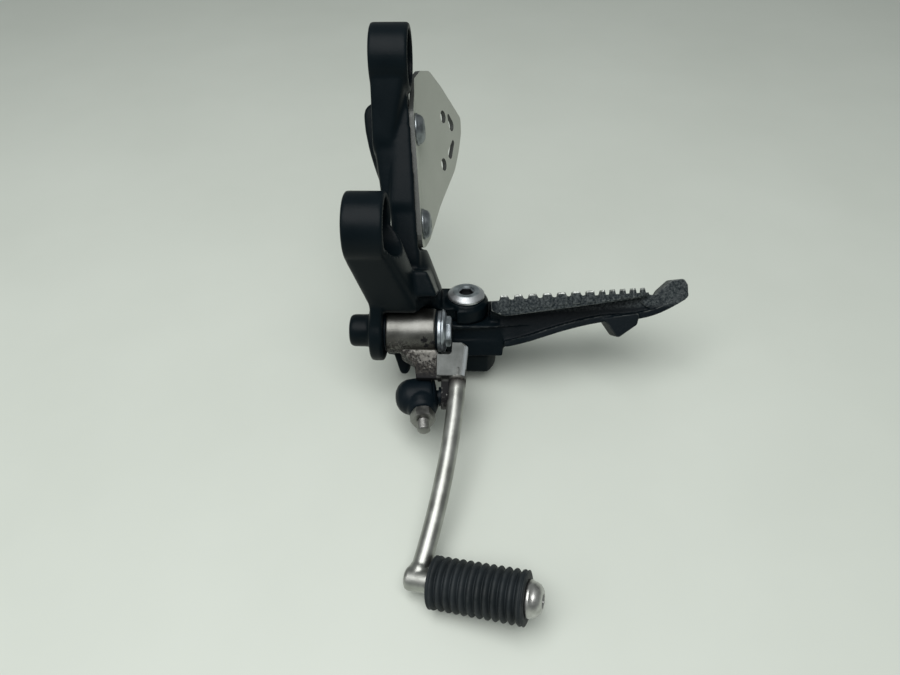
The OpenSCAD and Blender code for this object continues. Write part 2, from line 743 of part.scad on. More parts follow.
// Coil of the return spring with one straight leg at each end
module peg_return_spring() {
    steps = 24;
    sides = 8;
    z0 = -knuckle_bottom + spring_wire / 2 + 0.3;
    turns = [for (k = [0:steps * spring_turns])
        [360 * k / steps, z0 + spring_pitch * k / steps]];
    ring = [for (t = turns) each [for (j = [0:sides - 1])
        let (q = 360 * j / sides, r = spring_r + spring_wire / 2 * cos(q))
        [r * cos(t[0]), r * sin(t[0]), t[1] + spring_wire / 2 * sin(q)]]];
    n = len(turns);
    skin = [for (k = [0:n - 2]) for (j = [0:sides - 1]) for (half = [0, 1])
        half == 0
            ? [k * sides + j, (k + 1) * sides + (j + 1) % sides, (k + 1) * sides + j]
            : [k * sides + j, k * sides + (j + 1) % sides, (k + 1) * sides + (j + 1) % sides]];
    caps = [[for (j = [sides - 1:-1:0]) j], [for (j = [0:sides - 1]) (n - 1) * sides + j]];
    color("#8d9196") standing() hinge() {
        polyhedron(points = ring, faces = concat(skin, caps));
        translate([spring_r, 0, -lower_top - spring_leg + 0.5])
            cylinder(h = spring_leg - 0.5 + lower_top + z0, d = spring_wire, $fn = 16);
        translate([spring_r, 0, z0 + spring_pitch * spring_turns])
            cylinder(h = spring_leg, d = spring_wire, $fn = 16);
    }
}

// Machined block and web between the tube, the rod and the ball joint
module lever_block() {
    z0 = block_face_z - block_t;
    translate([0, 0, z0]) linear_extrude(height = block_t)
        polygon([[35.8, -7.5], [41, -7.5], [42.2, -8.7], [40.6, -block_reach],
            [29.3, -block_reach], [29, -13.6], [34.6, -13.6], [35.8, -12.4]]);
    intersection() {
        translate([0, 0, -ball_drop]) linear_extrude(height = ball_drop + 2)
            polygon([[9, 0], [11.5, -11], [15.6, -15], [18.6, -19], [19.6, -block_reach - 0.8],
                [31, -block_reach - 0.8], [31, -13.8], [29, -11.5], [26, 0]]);
        plate_x(8, arm_eye_x0 + 1) polygon([[0, 1.2], [-ball_reach - 0.5, 1.2],
            [-ball_reach - 0.5, -1.5], [web_clear - ball_reach, -1.5],
            [web_clear + 2.5 - ball_reach, -5], [web_clear + 7 - ball_reach, 0.5 - ball_drop],
            [0, 0.5 - ball_drop]]);
    }
    plate_x(arm_eye_x0, arm_eye_x1)
        link([-15, -3.6], 5.4, [-ball_reach, -ball_drop], eye_r);
}

// Gear lever: tube, block, rod and toe boss in one piece
module gear_lever() {
    color("#a8a49c") standing() {
        difference() {
            union() {
                lever_frame() {
                    puck(0, 0, tube_d / 2, tube_x0, tube_x1, 0.6, fine);
                    lever_block();
                    translate([rod_x - rod_bend_r * cos(rod_lead),
                        rod_bend_r * sin(rod_lead) - rod_start, rod_z])
                        rotate([0, 0, -rod_lead - rod_turn]) rotate_extrude(angle = rod_turn,
                            $fn = 480) translate([rod_bend_r, 0]) circle(d = rod_d, $fn = soft);
                }
                toe_frame() puck(0, 0, 4.9, -4.8, toe_gap, 1.8, fine);
            }
            lever_frame() {
                bar_x(tube_x0 - 1, tube_x1 + 1, bush_d);
                bar_x(tube_x1, 36, pivot_head_d + 2 * face_gap);
                bar_x(arm_eye_x0 - 1, arm_eye_x1 + 1, stud_pin_d, -ball_reach, -ball_drop);
            }
            toe_frame() bar_x(-3.2, toe_gap + 1, spindle_tail_d + 2 * seat_gap);
        }
    }
}

// Pressed bush with its inboard end at x
module bush(x) {
    standing() lever_frame() difference() {
        bar_x(x, x + bush_len, bush_d);
        bar_x(x - 1, x + bush_len + 1, sleeve_d + 2 * run_gap);
    }
}

module lever_bush_inner() {
    color("#8a6a3a") bush(tube_x0);
}

module lever_bush_outer() {
    color("#8a6a3a") bush(tube_x1 - bush_len);
}

// Fixed sleeve that the lever turns on
module lever_pivot_sleeve() {
    color("#9aa0a5") standing() lever_frame() difference() {
        bar_x(pivot_face_x, sleeve_x1, sleeve_d);
        bar_x(pivot_face_x - 1, sleeve_x1 + 1, pivot_bolt_d + 2 * seat_gap);
    }
}

// Thrust washer under the bolt head
module lever_pivot_washer() {
    color("#b9bdc1") standing() lever_frame() difference() {
        puck(0, 0, pivot_head_d / 2 - 0.2, sleeve_x1, washer_x1, 0.3, fine);
        bar_x(sleeve_x1 - 1, washer_x1 + 1, pivot_bolt_d + 2 * seat_gap);
    }
}

// Flange-head pivot bolt
module lever_pivot_bolt() {
    length = washer_x1 - stub_x0 - 5;
    color("#c9ced4") standing() lever_frame() translate([washer_x1, 0, 0]) {
        along_x() rotate_extrude($fn = fine) polygon([[0, 0], [pivot_head_d / 2 - 0.3, 0],
            [pivot_head_d / 2, 0.3], [pivot_head_d / 2, 0.9], [7.4, 2.4], [0, 2.4]]);
        intersection() {
            along_x() cylinder(h = 4.8, d = 15, $fn = 6);
            along_x() rotate_extrude($fn = fine) polygon([[0, 0], [7.5, 0], [7.5, 4], [6.1, 4.8],
                [0, 4.8]]);
        }
        bar_x(-length, eps, pivot_bolt_d);
    }
}

// Dust seal ring between the tube and its neighbour
module seal(x) {
    standing() lever_frame() difference() {
        puck(0, 0, tube_d / 2 - 0.9, x, x + seal_t, 0.3, fine);
        bar_x(x - 1, x + seal_t + 1, sleeve_d + 2 * seat_gap);
    }
}

module lever_seal_inner() {
    color("#1b1b1b") seal(pivot_face_x);
}

module lever_seal_outer() {
    color("#1b1b1b") seal(sleeve_x1 - seal_t);
}

// Spindle of the toe piece with its domed end
module toe_spindle() {
    color("#bdbdb8") standing() toe_frame() {
        bar_x(-2.8, toe_gap + 1, spindle_tail_d);
        bar_x(toe_gap + seat_gap, rubber_x1, spindle_d);
        translate([rubber_x1, 0, 0]) along_x() rotate_extrude($fn = fine) polygon(concat([[0, -eps],
            [dome_d / 2 - 0.4, -eps], [dome_d / 2, 0.4], [dome_d / 2, 1.5]],
            [for (a = [10:10:90]) [dome_d / 2 * cos(a), 1.5 + (dome_h - 1.5) * sin(a)]]));
    }
}

// Ribbed rubber sleeve on the spindle
module toe_rubber() {
    groove = (rubber_len - 2 * rubber_flange_w) / (rib_count + 0.5);
    color("#141414") standing() toe_frame() difference() {
        puck(0, 0, rubber_d / 2, toe_gap, rubber_x1, 0.8, fine);
        for (i = [0:rib_count]) {
            translate([toe_gap + rubber_flange_w + i * groove, 0, 0]) along_x() difference() {
                cylinder(h = groove / 2, d = rubber_d + 2, $fn = fine);
                cylinder(h = groove / 2, d = rubber_d - 2 * rib_depth, $fn = fine);
            }
        }
        bar_x(toe_gap - 1, rubber_x1 + 1, spindle_d);
    }
}

// Ball stud riveted into the lever
module ball_stud() {
    color("#b4b8bb") standing() ball_frame() {
        sphere(d = ball_d, $fn = fine);
        bar_x(ball_d / 2 - 1, arm_eye_x1 - ball_x, stud_pin_d);
        bar_x(arm_eye_x0 - ball_x - 1.2, arm_eye_x0 - ball_x, stud_pin_d + 3);
        bar_x(arm_eye_x1 - ball_x - eps, arm_eye_x1 - ball_x + 1, stud_pin_d + 2);
    }
}

// Frame of the joint's housing, turned on the ball so that its shank points at the linkage
module housing_frame() {
    ball_frame() rotate([-shank_swivel, 0, 0]) rotate([0, 0, shank_yaw]) children();
}

// Housing with its threaded shank
module ball_joint_housing() {
    color("#2a2c2f") standing() housing_frame() difference() {
        union() {
            puck(0, 0, housing_d / 2, housing_x0 - ball_x, housing_x1 - ball_x, 0.8, fine);
            rotate([90, 0, 0]) rotate_extrude($fn = fine) polygon([[0, 0], [shank_neck_d / 2, 0],
                [shank_neck_d / 2, nut_x0 - seat_gap], [thread_pitch_d / 2, nut_x0 - seat_gap],
                [thread_pitch_d / 2, thread_x0], [shank_d / 2, thread_x0],
                [shank_d / 2, shank_len - shank_bevel], [shank_d / 2 - shank_bevel, shank_len],
                [0, shank_len]]);
        }
        bar_x(housing_x0 - ball_x - 1, housing_x1 - ball_x - 1.5, liner_d + 2 * seat_gap);
        bar_x(0, housing_x1 - ball_x + 1, ball_d - 0.8);
    }
}

// Plastic liner that holds the ball
module ball_joint_liner() {
    color("#d8d4c4") standing() housing_frame() difference() {
        bar_x(housing_x0 - ball_x, housing_x1 - ball_x - 1.5, liner_d);
        sphere(d = ball_d + 2 * run_gap, $fn = fine);
        bar_x(0, housing_x1 - ball_x, ball_d - 0.8);
    }
}

// Domed cap that closes the housing
module ball_joint_cap() {
    color("#2e3033") standing() housing_frame() translate([housing_x0 - ball_x, 0, 0])
        rotate([0, -90, 0]) rotate_extrude($fn = fine) polygon(concat([[0, 0], [cap_r, 0],
            [cap_r, 1]], [for (a = [10:10:90]) [cap_r * cos(a), 1 + cap_h * sin(a)]]));
}

// Folded rubber boot between the housing and the lever
module ball_joint_boot() {
    x0 = housing_x1 - ball_x;
    x1 = arm_eye_x0 - ball_x - 1.2;
    color("#101112") standing() housing_frame() along_x() rotate_extrude($fn = fine)
        polygon([[ball_d / 2, x0], [7.8, x0], [8.6, x0 + 0.6], [7.6, x0 + 1.2], [5.6, x1 - 1.3],
            [4.6, x1 - 1], [4.3, x1 - 1.2], [4.5, x0 + 1]]);
}

// Lock nut on the shank
module lock_nut() {
    color("#b0b2b4") standing() housing_frame() difference() {
        intersection() {
            translate([0, -nut_x0, 0]) rotate([90, 0, 0])
                cylinder(h = nut_h, d = nut_af / cos(30), $fn = 6);
            translate([0, -nut_x0, 0]) rotate([90, 0, 0]) rotate_extrude($fn = fine)
                polygon([[0, 0], [nut_af / 2 + 0.1, 0], [nut_af / 2 + 0.9, 0.6],
                    [nut_af / 2 + 0.9, nut_h - 0.6], [nut_af / 2 + 0.1, nut_h], [0, nut_h]]);
        }
        translate([0, 1 - nut_x0, 0]) rotate([90, 0, 0])
            cylinder(h = nut_h + 2, d = thread_pitch_d + 2 * seat_gap, $fn = fine);
    }
}

bracket();
heel_guard();
heel_guard_bolts();
footpeg();
peg_pivot_pin();
peg_pin_clip();
peg_return_spring();
gear_lever();
lever_bush_inner();
lever_bush_outer();
lever_pivot_sleeve();
lever_pivot_bolt();
lever_pivot_washer();
lever_seal_inner();
lever_seal_outer();
toe_spindle();
toe_rubber();
ball_stud();
ball_joint_housing();
ball_joint_liner();
ball_joint_cap();
ball_joint_boot();
lock_nut();
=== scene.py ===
import math

import bmesh
import bpy
from mathutils import Matrix, Vector


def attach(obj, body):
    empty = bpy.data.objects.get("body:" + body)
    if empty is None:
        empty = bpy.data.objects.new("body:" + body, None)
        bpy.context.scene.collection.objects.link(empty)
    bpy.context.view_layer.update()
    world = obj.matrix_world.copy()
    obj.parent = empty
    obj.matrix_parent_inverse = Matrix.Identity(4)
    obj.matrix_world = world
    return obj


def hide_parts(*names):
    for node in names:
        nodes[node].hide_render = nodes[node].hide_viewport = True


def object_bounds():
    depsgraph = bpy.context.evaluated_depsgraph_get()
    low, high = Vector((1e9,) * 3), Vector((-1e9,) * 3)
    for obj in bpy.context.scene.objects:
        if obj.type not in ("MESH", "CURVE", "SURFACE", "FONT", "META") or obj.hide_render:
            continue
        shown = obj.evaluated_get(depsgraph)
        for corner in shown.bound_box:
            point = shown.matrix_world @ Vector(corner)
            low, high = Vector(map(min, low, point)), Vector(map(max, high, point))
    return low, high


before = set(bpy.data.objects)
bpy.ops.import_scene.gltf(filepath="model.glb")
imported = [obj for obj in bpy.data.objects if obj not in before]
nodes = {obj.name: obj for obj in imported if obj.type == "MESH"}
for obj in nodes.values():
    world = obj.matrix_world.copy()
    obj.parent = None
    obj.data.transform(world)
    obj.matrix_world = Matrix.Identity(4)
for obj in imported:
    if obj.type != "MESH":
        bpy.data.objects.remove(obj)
cad_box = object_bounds()

# Camera: the picture is taken from in front of the standing assembly and well above it,
# from about a quarter of a metre away. The lens gives the photograph's own field of view.
scene = bpy.context.scene
camera = bpy.data.objects.new("camera", bpy.data.cameras.new("camera"))
scene.collection.objects.link(camera)
camera.data.sensor_width = 36.0
camera.data.lens = 27.04
camera.data.clip_start = 0.01
camera.data.clip_end = 20.0
to_right = Vector((0.9992, 0.0353, -0.0182))
to_top = Vector((-0.0127, 0.7195, 0.6944))
to_back = Vector((0.0376, -0.6936, 0.7193))
view = Matrix((to_right, to_top, to_back)).transposed()
camera.matrix_world = Matrix.Translation((0.0466, -0.2304, 0.1723)) @ view.to_4x4()
scene.camera = camera


# Room: a pale painted floor that runs on far enough to fill every view from above, with a
# broad soft lamp overhead, a weaker one at the left like a window, and a pale surround.
def new_material(name):
    material = bpy.data.materials.new(name)
    material.use_nodes = True
    tree = material.node_tree
    tree.nodes.clear()
    output = tree.nodes.new("ShaderNodeOutputMaterial")
    surface = tree.nodes.new("ShaderNodeBsdfPrincipled")
    tree.links.new(surface.outputs["BSDF"], output.inputs["Surface"])
    return material, tree, surface


def feed(tree, socket, value):
    """Gives a socket a number or a colour, or links another socket to it."""
    if isinstance(value, (int, float)):
        socket.default_value = value
    elif isinstance(value, tuple):
        socket.default_value = (*value, 1.0)
    else:
        tree.links.new(value, socket)


def noise(tree, vector, scale, detail=3.0, roughness=0.55):
    node = tree.nodes.new("ShaderNodeTexNoise")
    feed(tree, node.inputs["Vector"], vector)
    feed(tree, node.inputs["Scale"], scale)
    feed(tree, node.inputs["Detail"], detail)
    feed(tree, node.inputs["Roughness"], roughness)
    return node.outputs["Fac"]


def place(tree):
    return tree.nodes.new("ShaderNodeTexCoord").outputs["Object"]


def spread(tree, value, low, high, to_low=0.0, to_high=1.0):
    """Maps a value between low and high onto to_low and to_high, and holds it there."""
    node = tree.nodes.new("ShaderNodeMapRange")
    feed(tree, node.inputs["Value"], value)
    feed(tree, node.inputs["From Min"], low)
    feed(tree, node.inputs["From Max"], high)
    feed(tree, node.inputs["To Min"], to_low)
    feed(tree, node.inputs["To Max"], to_high)
    return node.outputs["Result"]


def two_tone(tree, mask, first, second):
    """The first colour where the mask is 0, and the second where it is 1."""
    node = tree.nodes.new("ShaderNodeMix")
    node.data_type = "RGBA"
    first_socket, second_socket = [s for s in node.inputs if s.type == "RGBA"]
    feed(tree, first_socket, first)
    feed(tree, second_socket, second)
    feed(tree, node.inputs["Factor"], mask)
    return [s for s in node.outputs if s.type == "RGBA"][0]


def group(name, inputs, outputs):
    tree = bpy.data.node_groups.new(name, "ShaderNodeTree")
    for label, kind, value in inputs:
        socket = tree.interface.new_socket(label, in_out="INPUT", socket_type=kind)
        if value is not None:
            socket.default_value = value
    for label, kind in outputs:
        tree.interface.new_socket(label, in_out="OUTPUT", socket_type=kind)
    return tree, tree.nodes.new("NodeGroupInput").outputs, tree.nodes.new("NodeGroupOutput").inputs


def placed(tree, name, **values):
    """Puts a node group in a material, with values for its named inputs."""
    node = tree.nodes.new("ShaderNodeGroup")
    node.node_tree = bpy.data.node_groups[name]
    for label, value in values.items():
        feed(tree, node.inputs[label.replace("_", " ").capitalize()], value)
    return node.outputs


clouding, given, result = group("clouding", [
    ("Place", "NodeSocketVector", None), ("Cloud size", "NodeSocketFloat", 150.0),
    ("Detail", "NodeSocketFloat", 3.0), ("Fineness", "NodeSocketFloat", 0.55),
    ("Start", "NodeSocketFloat", 0.3), ("Full", "NodeSocketFloat", 0.7),
    ("Dark", "NodeSocketColor", None), ("Light", "NodeSocketColor", None),
    ("Smoothest", "NodeSocketFloat", 0.3), ("Roughest", "NodeSocketFloat", 0.5)],
    [("Colour", "NodeSocketColor"), ("Roughness", "NodeSocketFloat"),
     ("Height", "NodeSocketFloat")])
clouds = noise(clouding, given["Place"], given["Cloud size"], given["Detail"], given["Fineness"])
feed(clouding, result["Colour"], two_tone(
    clouding, spread(clouding, clouds, given["Start"], given["Full"]), given["Dark"], given["Light"]))
feed(clouding, result["Roughness"],
     spread(clouding, clouds, 0.3, 0.7, given["Smoothest"], given["Roughest"]))
feed(clouding, result["Height"], clouds)


def dress(piece, material):
    piece.data.materials.clear()
    piece.data.materials.append(material)


def made(name, shape):
    """Turns a bmesh into an object of the scene."""
    mesh = bpy.data.meshes.new(name)
    shape.to_mesh(mesh)
    shape.free()
    piece = bpy.data.objects.new(name, mesh)
    scene.collection.objects.link(piece)
    return piece


floor_shape = bmesh.new()
bmesh.ops.create_grid(floor_shape, x_segments=8, y_segments=8, size=4.0)
floor = made("floor", floor_shape)
floor.location.z = cad_box[0][2]
floor_paint, tree, surface = new_material("floor_paint")
mottle = placed(tree, "clouding", place=place(tree), cloud_size=9.0, detail=4.0, start=0.0,
                full=1.0, dark=(0.60, 0.64, 0.575), light=(0.68, 0.72, 0.655))
feed(tree, surface.inputs["Base Color"], mottle["Colour"])
surface.inputs["Roughness"].default_value = 0.42
dress(floor, floor_paint)

world = bpy.data.worlds.new("surround")
world.use_nodes = True
world.node_tree.nodes["Background"].inputs["Color"].default_value = (0.78, 0.83, 0.82, 1.0)
world.node_tree.nodes["Background"].inputs["Strength"].default_value = 0.28
scene.world = world


def soft_lamp(name, stands_at, look_at, size, power):
    lamp = bpy.data.lights.new(name, "AREA")
    lamp.shape = "RECTANGLE"
    lamp.size, lamp.size_y = size
    lamp.energy = power
    thing = bpy.data.objects.new(name, lamp)
    thing.location = stands_at
    aim = Vector(look_at) - Vector(stands_at)
    thing.rotation_euler = aim.to_track_quat("-Z", "Y").to_euler()
    scene.collection.objects.link(thing)


soft_lamp("ceiling", (-0.05, -0.32, 0.85), (0.03, -0.22, 0.0), (1.0, 0.8), 9.6)
soft_lamp("window", (-0.9, -0.5, 0.7), (0.05, 0.0, 0.0), (0.5, 0.5), 1.0)
scene.view_settings.view_transform = "Standard"


# Bracket: one aluminium casting in a satin black coat, slightly uneven, with rounded corners
# and the coat worn thin along the machined rims. A fin runs down the rear edge of the upper
# arm, and a gusset closes the crotch between the two arms.
def arithmetic(tree, operation, first, second=0.0):
    """One sum of two values. Sums and products are held between 0 and 1."""
    node = tree.nodes.new("ShaderNodeMath")
    node.operation = operation
    node.use_clamp = operation in ("ADD", "MULTIPLY")
    feed(tree, node.inputs[0], first)
    feed(tree, node.inputs[1], second)
    return node.outputs["Value"]


def product(tree, first, *others):
    for other in others:
        first = arithmetic(tree, "MULTIPLY", first, other)
    return first


edge_wear, given, result = group("edge wear", [
    ("Place", "NodeSocketVector", None), ("Start", "NodeSocketFloat", 0.55),
    ("Full", "NodeSocketFloat", 0.66), ("Patch size", "NodeSocketFloat", 90.0)],
    [("Mask", "NodeSocketFloat")])
corner = edge_wear.nodes.new("ShaderNodeNewGeometry").outputs["Pointiness"]
patch = edge_wear.nodes.new("ShaderNodeTexNoise")
feed(edge_wear, patch.inputs["Vector"], given["Place"])
feed(edge_wear, patch.inputs["Scale"], given["Patch size"])
feed(edge_wear, result["Mask"], product(
    edge_wear, spread(edge_wear, corner, given["Start"], given["Full"]),
    spread(edge_wear, patch.outputs["Fac"], 0.35, 0.6)))

cast_grain, given, result = group("cast grain", [
    ("Place", "NodeSocketVector", None), ("Grain size", "NodeSocketFloat", 1400.0)],
    [("Height", "NodeSocketFloat"), ("Tone", "NodeSocketFloat")])
sand = cast_grain.nodes.new("ShaderNodeTexNoise")
feed(cast_grain, sand.inputs["Vector"], given["Place"])
feed(cast_grain, sand.inputs["Scale"], given["Grain size"])
broad = noise(cast_grain, given["Place"], 70.0, 4.0)
feed(cast_grain, result["Height"], arithmetic(
    cast_grain, "ADD", product(cast_grain, sand.outputs["Fac"], 0.4),
    product(cast_grain, broad, 0.6)))
feed(cast_grain, result["Tone"], broad)


def relief(tree, surface, height, strength, distance):
    node = tree.nodes.new("ShaderNodeBump")
    node.inputs["Strength"].default_value = strength
    node.inputs["Distance"].default_value = distance
    feed(tree, node.inputs["Height"], height)
    feed(tree, surface.inputs["Normal"], node.outputs["Normal"])


def work_in(piece):
    """Makes the piece's modifiers part of its mesh, and shades it smooth."""
    shape = bpy.data.meshes.new_from_object(
        piece.evaluated_get(bpy.context.evaluated_depsgraph_get()))
    piece.modifiers.clear()
    piece.data = shape
    shape.polygons.foreach_set("use_smooth", [True] * len(shape.polygons))


def block(low, high, at):
    """The eight corners and six sides of a block in its own frame, for cast_copy."""
    corners = [at @ Vector((x, y, z)) for x in (low[0], high[0]) for y in (low[1], high[1])
               for z in (low[2], high[2])]
    sides = [(0, 1, 3, 2), (4, 6, 7, 5), (0, 4, 5, 1), (2, 3, 7, 6), (0, 2, 6, 4), (1, 5, 7, 3)]
    return corners, sides


def ball(centre, radius, at):
    """The corners and sides of a faceted ball, for cast_copy."""
    shape = bmesh.new()
    bmesh.ops.create_icosphere(shape, subdivisions=3, radius=radius)
    corners = [at @ (Vector(centre) + vertex.co) for vertex in shape.verts]
    sides = [[vertex.index for vertex in face.verts] for face in shape.faces]
    shape.free()
    return corners, sides


def round_bar(rings, at):
    """The corners and sides of a closed body of revolution about x, for cast_copy."""
    parts = 40
    corners = [at @ Vector((x, r * math.cos(2.0 * math.pi * k / parts),
                            r * math.sin(2.0 * math.pi * k / parts)))
               for x, r in rings for k in range(parts)]
    sides = [(i * parts + k, i * parts + (k + 1) % parts, (i + 1) * parts + (k + 1) % parts,
              (i + 1) * parts + k) for i in range(len(rings) - 1) for k in range(parts)]
    sides += [list(range(parts))[::-1], [(len(rings) - 1) * parts + k for k in range(parts)]]
    return corners, sides


def cast_copy(node_name, name, cell, passes, more=()):
    """A part's solid with softly rounded corners, made from the solid itself and from more
    bodies that run into it. With no solid, the bodies alone are rounded."""
    shape = bmesh.new()
    if node_name:
        shape.from_mesh(nodes[node_name].data)
        bmesh.ops.remove_doubles(shape, verts=shape.verts, dist=1e-6)
    for corners, sides in more:
        added = [shape.verts.new(corner) for corner in corners]
        for side in sides:
            shape.faces.new([added[k] for k in side])
    piece = made(name, shape)
    remesh = piece.modifiers.new("skin", "REMESH")
    remesh.mode = "VOXEL"
    remesh.voxel_size = cell
    soften = piece.modifiers.new("soften", "SMOOTH")
    soften.factor = 0.5
    soften.iterations = passes
    work_in(piece)
    return piece


def soften_where(piece, weight, passes):
    """Rounds the piece further where weight(point) is above 0."""
    region = piece.vertex_groups.new(name="soft")
    for vertex in piece.data.vertices:
        amount = weight(vertex.co)
        if amount > 0.0:
            region.add([vertex.index], min(1.0, amount), "REPLACE")
    soften = piece.modifiers.new("soften_more", "SMOOTH")
    soften.factor = 0.5
    soften.iterations = passes
    soften.vertex_group = "soft"
    work_in(piece)
    piece.vertex_groups.clear()


black_coat, tree, surface = new_material("black_coat")
where = place(tree)
worn = placed(tree, "edge wear", place=where, start=0.56, full=0.66, patch_size=120.0)
cast = placed(tree, "cast grain", place=where, grain_size=1500.0)
coat = two_tone(tree, cast["Tone"], (0.0017, 0.0043, 0.0060), (0.0040, 0.0080, 0.0106))
feed(tree, surface.inputs["Base Color"],
     two_tone(tree, product(tree, worn["Mask"], 0.4), coat, (0.13, 0.14, 0.13)))
surface.inputs["Specular IOR Level"].default_value = 0.09
feed(tree, surface.inputs["Roughness"], spread(tree, cast["Tone"], 0.3, 0.7, 0.32, 0.44))
relief(tree, surface, cast["Height"], 0.25, 0.0004)

stand = Matrix.Rotation(math.radians(-38.0), 4, "X")
mounted = stand.inverted()


def away_from_bosses(point):
    """Above 0 clear of the bosses and the hinge, whose rims are machined and stay crisp."""
    at = mounted @ point
    boss_r, hinge_r, fade = 0.0155, 0.0165, 0.004
    upper_boss_y, upper_boss_z, pin_x, pin_y, hinge_from_x = 0.033, 0.0765, 0.0418, 0.045, 0.022
    lower = math.hypot(at.y, at.z)
    upper = math.hypot(at.y - upper_boss_y, at.z - upper_boss_z)
    pin = math.hypot(at.x - pin_x, at.y - pin_y) if at.x > hinge_from_x else 1.0
    return min((lower - boss_r) / fade, (upper - boss_r) / fade, (pin - hinge_r) / fade)


fin = []
fin_steps = 12
fin_r, fin_taper = 0.0058, 0.0020
fin_front, fin_rear, fin_edge = 0.0380, 0.0455, 0.001
fin_side, fin_sweep = -0.0072, 0.0067
fin_top, fin_drop = 0.0525, 0.0285
for step in range(fin_steps + 1):
    t = step / fin_steps
    r = fin_r - fin_taper * t
    at = Matrix.Translation((fin_side + fin_sweep * t ** 1.6 + r, 0.0, fin_top - fin_drop * t))
    fin.append(round_bar([(fin_front, r - fin_edge), (fin_front + fin_edge, r),
                          (fin_rear - fin_edge, r), (fin_rear, r - fin_edge)],
                         stand @ at @ Matrix.Rotation(math.radians(90.0), 4, "Z")))
inboard_for_each_up = -0.42
lean = Matrix.Identity(4)
lean[0][2] = inboard_for_each_up
gusset = block((0.0040, 0.0150, -0.0305), (0.0166, 0.0365, -0.0190), stand @ lean)
bracket = cast_copy("bracket", "bracket_casting", 0.0008, 2, fin + [gusset])
soften_where(bracket, away_from_bosses, 14)
dress(bracket, black_coat)
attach(bracket, "bracket_assembly")
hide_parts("bracket")

# Footpeg: a second casting in the same black, with a row of teeth on each edge, rubbed bright
# on top, and a band below them that is rubbed grey. It folds on the hinge pin. The rear row
# is let down behind the front one, and the teeth round the nose have open gaps.
peg_frame = (stand @ Matrix.Translation((0.0418, 0.046, -0.0354))
             @ Matrix.Rotation(math.radians(-3.8), 4, "Y")
             @ Matrix.Rotation(math.radians(-5.0), 4, "X"))
hinge_frame = (stand @ Matrix.Translation((0.0418, 0.044108, -0.029522))
               @ Matrix.Rotation(math.radians(28.0), 4, "X"))


def own_place(tree, where, own_frame):
    """How far a point lies along each axis of a piece's own frame."""
    node = tree.nodes.new("ShaderNodeMapping")
    node.vector_type = "TEXTURE"
    node.inputs["Location"].default_value = own_frame.to_translation()
    node.inputs["Rotation"].default_value = own_frame.to_euler()
    feed(tree, node.inputs["Vector"], where)
    parts = tree.nodes.new("ShaderNodeSeparateXYZ")
    feed(tree, parts.inputs["Vector"], node.outputs["Vector"])
    return parts.outputs["X"], parts.outputs["Y"], parts.outputs["Z"]


peg_coat, tree, surface = new_material("peg_coat")
where = place(tree)
along, across, up = own_place(tree, where, peg_frame)
worn = placed(tree, "edge wear", place=where, start=0.52, full=0.58, patch_size=260.0)
cast = placed(tree, "cast grain", place=where, grain_size=1500.0)
scuff = noise(tree, where, 950.0, 6.0, 0.72)
crest = product(tree, spread(tree, up, 0.0011, 0.0017), spread(tree, along, 0.089, 0.087),
                spread(tree, scuff, 0.36, 0.5))
band = product(tree, spread(tree, up, -0.0078, -0.0062), spread(tree, along, 0.013, 0.016))
rim = product(tree, worn["Mask"], spread(tree, up, -0.012, -0.006, 0.35, 0.9))
coat = two_tone(tree, cast["Tone"], (0.0017, 0.0043, 0.0062), (0.0040, 0.0080, 0.0108))
rubbed = two_tone(tree, spread(tree, scuff, 0.42, 0.66), (0.010, 0.015, 0.018),
                  (0.085, 0.097, 0.098))
coat = two_tone(tree, band, coat, rubbed)
coat = two_tone(tree, rim, coat, (0.26, 0.275, 0.26))
feed(tree, surface.inputs["Base Color"], two_tone(tree, crest, coat, (0.55, 0.57, 0.54)))
surface.inputs["Specular IOR Level"].default_value = 0.10
feed(tree, surface.inputs["Roughness"], spread(tree, crest, 0.0, 1.0, 0.42, 0.34))
feed(tree, surface.inputs["Metallic"], spread(tree, crest, 0.0, 1.0, 0.0, 0.8))
relief(tree, surface, arithmetic(tree, "ADD", product(tree, scuff, 0.5), cast["Height"]),
       0.5, 0.0005)

wedge = block((-0.0065, -0.0112, -0.0222), (0.0163, -0.008, -0.0150), hinge_frame)
peg = cast_copy("footpeg", "footpeg_casting", 0.00046, 1, [wedge])


def smooth_step(value, low, high):
    t = min(1.0, max(0.0, (value - low) / (high - low)))
    return t * t * (3.0 - 2.0 * t)


def near_root(point):
    """Above 0 where the peg's underside runs into its knuckle, clear of the knuckle itself."""
    at = hinge_frame.inverted() @ point
    own = peg_frame.inverted() @ point
    return (1.0 - smooth_step(own.x, 0.018, 0.022)) * smooth_step(
        math.hypot(at.x, at.y), 0.0122, 0.0135) * smooth_step(-own.z, 0.004, 0.008)


